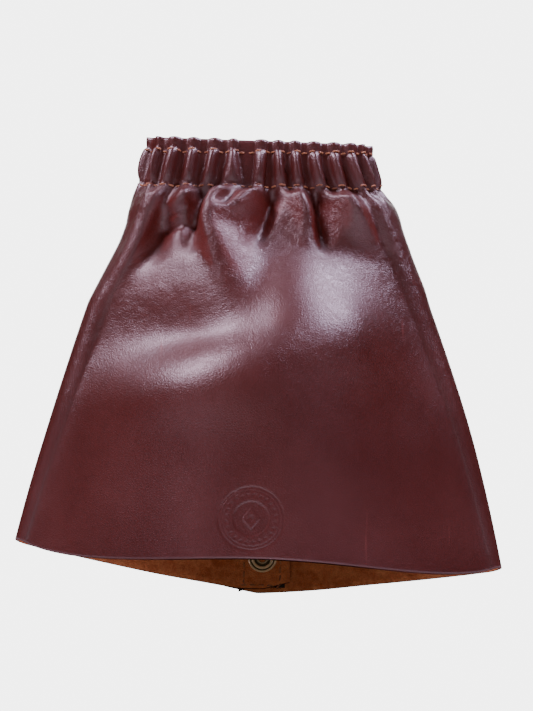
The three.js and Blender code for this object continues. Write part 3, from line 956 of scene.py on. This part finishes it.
BOX_INSET = 2.2
half = TAPE_WIDTH / 2 - BOX_INSET
top = TAPE_LENGTH - BOX_INSET
corners = [(-half, BOX_INSET), (half, BOX_INSET), (half, top), (-half, top)]
box_x, box_z = [], []
for (x0, z0), (x1, z1) in zip(corners, corners[1:] + corners[:1]):
    steps = int(math.hypot(x1 - x0, z1 - z0))
    box_x.extend(CLOSURE_X + x0 + (x1 - x0) * i / steps for i in range(steps))
    box_z.extend(z0 + (z1 - z0) * i / steps for i in range(steps))
FLESH_THREAD = INNER_FACE - LEATHER - 0.1
BACK_THREAD = OUTER_FACE + LEATHER + 0.1
boxes = [("loop", "inner_flap", FLESH_THREAD, -1), ("hook", "outer_flap", BACK_THREAD, 1)]
for kind, body, y, out in boxes:
    line = settled_plane(np.array(box_x), np.array(box_z), y)
    stitches = stitch_line(f"{kind}_tape_stitches", line, np.tile((0.0, out, 0.0), (len(line), 1)))
    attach(stitches, body)
    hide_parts(f"{kind}_tape_stitching")

# ---- Press snap ----
# A line-24 ring snap in antiqued brass. The eyelet post is riveted through the inner flap to
# its stud, and the cap through the outer flap to its socket, all on one axis near the hem.
RING_STEPS = 72


def snap_material():
    """Aged brass: pale on the worn rings, dark olive in the grooves, with fine scratches."""
    material, tree, shader, place = node_material("antique_brass")
    wear = put(tree, "ShaderNodeAttribute", attribute_name="worn").outputs["Fac"]
    smudge = noise(tree, place, 420.0, Detail=4.0)
    shift = maths(tree, "MULTIPLY_ADD", smudge, 0.35, -0.17)
    total = maths(tree, "ADD", wear, shift)
    olive, brass = (0.05, 0.042, 0.02, 1), (0.78, 0.66, 0.44, 1)
    colour = blend_colour(tree, mask(tree, total, 0.1, 0.8), olive, brass)
    tree.links.new(colour, shader.inputs["Base Color"])
    tree.links.new(mask(tree, total, 1.0, 0.0), shader.inputs["Roughness"])
    fine = put(tree, "ShaderNodeMapping", [("Vector", place), ("Scale", (900, 900, 5000))])
    scratches = noise(tree, fine.outputs[0], 1.0)
    bumped(tree, shader, scratches, Distance=0.00004)
    shader.inputs["Metallic"].default_value = 0.35
    return material


snap_finish = snap_material()


def turned_piece(name, node, body, profile):
    """A solid of revolution from (radius, y, wear) points, closed all round, in mm."""
    rows = []
    for (r0, y0, w0), (r1, y1, w1) in zip(profile, profile[1:]):
        rows.extend((r0 + (r1 - r0) * t, y0 + (y1 - y0) * t, w0 + (w1 - w0) * t) for t in (0, 0.5))
    rows = [row for i, row in enumerate(rows) if row[0] > 0.01 or i in (0, len(rows) - 1)]
    angles = np.arange(RING_STEPS) * 2 * math.pi / RING_STEPS
    points, faces, worn = [], [], []
    for radius, y, wear in rows:
        for angle in angles:
            x, z = radius * math.cos(angle), radius * math.sin(angle)
            points.append((CLOSURE_X + x, y, SNAP_HEIGHT + z))
            worn.append(wear)
    count = len(rows)
    for i in range(count):
        a, b = i * RING_STEPS, ((i + 1) % count) * RING_STEPS
        for k in range(RING_STEPS):
            m = (k + 1) % RING_STEPS
            faces.append((a + k, a + m, b + m, b + k))
    mesh = bpy.data.meshes.new(name)
    mesh.from_pydata((np.array(points) * MM).tolist(), [], faces)
    mesh.attributes.new("worn", "FLOAT", "POINT").data.foreach_set("value", np.array(worn, np.float32))
    mesh.materials.append(snap_finish)
    shape = bmesh.new()
    shape.from_mesh(mesh)
    bmesh.ops.remove_doubles(shape, verts=shape.verts, dist=1e-6)
    bmesh.ops.recalc_face_normals(shape, faces=shape.faces)
    shape.to_mesh(mesh)
    shape.free()
    mesh.polygons.foreach_set("use_smooth", np.ones(len(mesh.polygons), bool))
    mesh.set_sharp_from_angle(angle=math.radians(50))
    piece = placed(name, mesh)
    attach(piece, body)
    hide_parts(node)


POST_BACK = INNER_FACE - LEATHER - 0.3
turned_piece(
    "snap_eyelet_post",
    "snap_post",
    "inner_flap",
    [
        (1.7, INNER_FACE, 0.1), (1.7, POST_BACK - 0.1, 0.1), (1.95, POST_BACK - 0.45, 0.5),
        (2.5, POST_BACK - 0.4, 0.3), (2.9, POST_BACK - 0.12, 0.0), (3.5, POST_BACK - 0.12, 0.0),
        (3.7, POST_BACK - 0.6, 0.9), (4.1, POST_BACK - 0.85, 1.4), (4.6, POST_BACK - 0.75, 1.3),
        (4.85, POST_BACK - 0.3, 0.1), (5.25, POST_BACK - 0.25, 0.0), (5.45, POST_BACK - 0.6, 0.9),
        (5.85, POST_BACK - 0.7, 1.2), (6.15, POST_BACK - 0.45, 1.0), (6.2, POST_BACK - 0.05, 0.3),
        (5.9, POST_BACK + 0.1, 0.1), (2.3, POST_BACK + 0.1, 0.1), (2.3, INNER_FACE, 0.1),
        (1.7, INNER_FACE, 0.1),
    ],
)
STUD_FOOT = INNER_FACE + 0.3
STUD_TOP = OUTER_FACE - 0.6
turned_piece(
    "snap_stud_head",
    "snap_stud",
    "inner_flap",
    [
        (0.0, STUD_FOOT, 0.2), (4.7, STUD_FOOT, 0.2), (5.0, STUD_FOOT + 0.2, 0.6),
        (4.8, STUD_FOOT + 0.55, 0.9), (3.6, STUD_FOOT + 0.6, 0.3), (2.9, STUD_FOOT + 0.75, 0.1),
        (2.85, STUD_FOOT + 1.0, 0.3), (3.2, STUD_TOP - 0.7, 1.0), (3.15, STUD_TOP - 0.35, 1.1),
        (2.7, STUD_TOP - 0.05, 0.9), (1.6, STUD_TOP, 0.6), (1.3, STUD_TOP - 0.2, 0.2),
        (0.0, STUD_TOP - 0.2, 0.3),
    ],
)
SOCKET_FOOT = STUD_FOOT + 0.9
turned_piece(
    "snap_socket_ring",
    "snap_socket",
    "outer_flap",
    [
        (3.7, SOCKET_FOOT + 0.25, 0.5), (3.95, SOCKET_FOOT + 0.02, 1.0), (4.6, SOCKET_FOOT + 0.05, 0.6),
        (4.8, SOCKET_FOOT + 0.3, 0.1), (5.1, SOCKET_FOOT + 0.3, 0.1), (5.3, SOCKET_FOOT + 0.05, 0.7),
        (5.8, SOCKET_FOOT + 0.1, 0.9), (6.0, SOCKET_FOOT + 0.4, 0.7), (5.95, OUTER_FACE - 0.35, 0.3),
        (5.6, OUTER_FACE - 0.3, 0.2), (3.75, OUTER_FACE - 0.3, 0.2), (3.7, SOCKET_FOOT + 0.25, 0.5),
    ],
)
CAP_FOOT = OUTER_FACE + LEATHER + 0.3
turned_piece(
    "snap_cap_dome",
    "snap_cap",
    "outer_flap",
    [
        (0.0, CAP_FOOT + 2.5, 0.55), (1.6, CAP_FOOT + 2.45, 0.52), (3.2, CAP_FOOT + 2.15, 0.48),
        (4.6, CAP_FOOT + 1.65, 0.42), (5.6, CAP_FOOT + 1.05, 0.5), (6.25, CAP_FOOT + 0.5, 0.7),
        (6.5, CAP_FOOT + 0.2, 0.6), (6.4, CAP_FOOT, 0.2), (5.8, CAP_FOOT + 0.02, 0.1),
        (0.0, CAP_FOOT + 0.02, 0.1),
    ],
)

# ---- Camera, light and floor ----
# The gaiter stands on its hem. The camera looks at its front from below the hem, a little
# turned, and the floor is seen only from above.
CAMERA_DISTANCE = 900.0
CAMERA_RISE = math.radians(18.0)
CAMERA_ROLL = math.radians(1.5)
CAMERA_TARGET = Vector((2.0, -5.0, 96.0))
ahead = Vector((0, math.cos(CAMERA_RISE), math.sin(CAMERA_RISE)))
level_up = Vector((0, -math.sin(CAMERA_RISE), math.cos(CAMERA_RISE)))
right = Vector((1, 0, 0)) * math.cos(CAMERA_ROLL) + level_up * math.sin(CAMERA_ROLL)
up = right.cross(ahead)
camera = placed("camera", bpy.data.cameras.new("camera"))
camera.data.lens = 106.0
camera.data.sensor_width = 36.0
stand = Matrix.Translation((CAMERA_TARGET - ahead * CAMERA_DISTANCE) * MM)
camera.matrix_world = stand @ Matrix((right, up, -ahead)).transposed().to_4x4()
bpy.context.scene.camera = camera


def softbox(name, place, aim, size, power, colour):
    lamp = bpy.data.lights.new(name, "AREA")
    lamp.shape = "RECTANGLE"
    lamp.size, lamp.size_y = size
    lamp.energy = power
    lamp.color = colour
    lit = placed(name, lamp)
    lit.location = place
    lit.rotation_euler = (Vector(aim) - Vector(place)).to_track_quat("-Z", "Y").to_euler()
    lit.visible_camera = False


MIDDLE = (0, 0, 0.1)
softbox("window_left", (-0.8, -0.34, 1.2), MIDDLE, (0.46, 0.3), 34, (0.98, 0.73, 0.93))
softbox("window_right", (0.62, -0.18, 1.34), MIDDLE, (0.54, 0.4), 37, (0.87, 0.71, 0.98))
softbox("low_fill", (0.0, -1.1, -0.6), MIDDLE, (0.8, 0.5), 3.6, (1.0, 0.85, 0.7))
softbox("behind", (0.0, 1.7, 1.3), MIDDLE, (2.0, 1.2), 24, (0.95, 0.96, 1.0))

world = bpy.data.worlds.new("studio")
world.use_nodes = True
sky = world.node_tree
backdrop = sky.nodes["Background"]
backdrop.inputs["Color"].default_value = (0.85, 0.76, 0.74, 1)
backdrop.inputs["Strength"].default_value = 0.07
seen = put(sky, "ShaderNodeBackground", [("Color", (1, 1, 1, 1)), ("Strength", 5.0)])
path = sky.nodes.new("ShaderNodeLightPath")
pairs = [(0, path.outputs["Is Camera Ray"]), (1, backdrop.outputs[0]), (2, seen.outputs[0])]
pick = put(sky, "ShaderNodeMixShader", pairs)
sky.links.new(pick.outputs[0], sky.nodes["World Output"].inputs["Surface"])
bpy.context.scene.world = world

floor_material, tree, shader, _ = node_material("pale_floor")
shader.inputs["Base Color"].default_value = (0.8, 0.8, 0.8, 1)
shader.inputs["Roughness"].default_value = 0.9
by_camera = tree.nodes.new("ShaderNodeLightPath").outputs["Is Camera Ray"]
glow = maths(tree, "MULTIPLY", by_camera, 0.3)
tree.links.new(glow, shader.inputs["Emission Strength"])
clear = tree.nodes.new("ShaderNodeBsdfTransparent")
under = tree.nodes.new("ShaderNodeNewGeometry").outputs["Backfacing"]
lighting = tree.nodes.new("ShaderNodeLightPath").outputs["Is Shadow Ray"]
open_way = maths(tree, "MAXIMUM", under, lighting)
one_way = put(tree, "ShaderNodeMixShader", [(0, open_way), (1, shader.outputs[0]), (2, clear.outputs[0])])
tree.links.new(one_way.outputs[0], tree.nodes["Material Output"].inputs["Surface"])
floor_mesh = bpy.data.meshes.new("floor")
REACH_M = 3.0
floor_mesh.from_pydata(
    [(-REACH_M, -REACH_M, 0), (REACH_M, -REACH_M, 0), (REACH_M, REACH_M, 0), (-REACH_M, REACH_M, 0)],
    [],
    [(0, 1, 2, 3)],
)
floor_mesh.materials.append(floor_material)
placed("floor", floor_mesh)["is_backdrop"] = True

sizes = {"cad": [list(c) for c in cad_bounds], "visual": [list(c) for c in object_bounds()]}
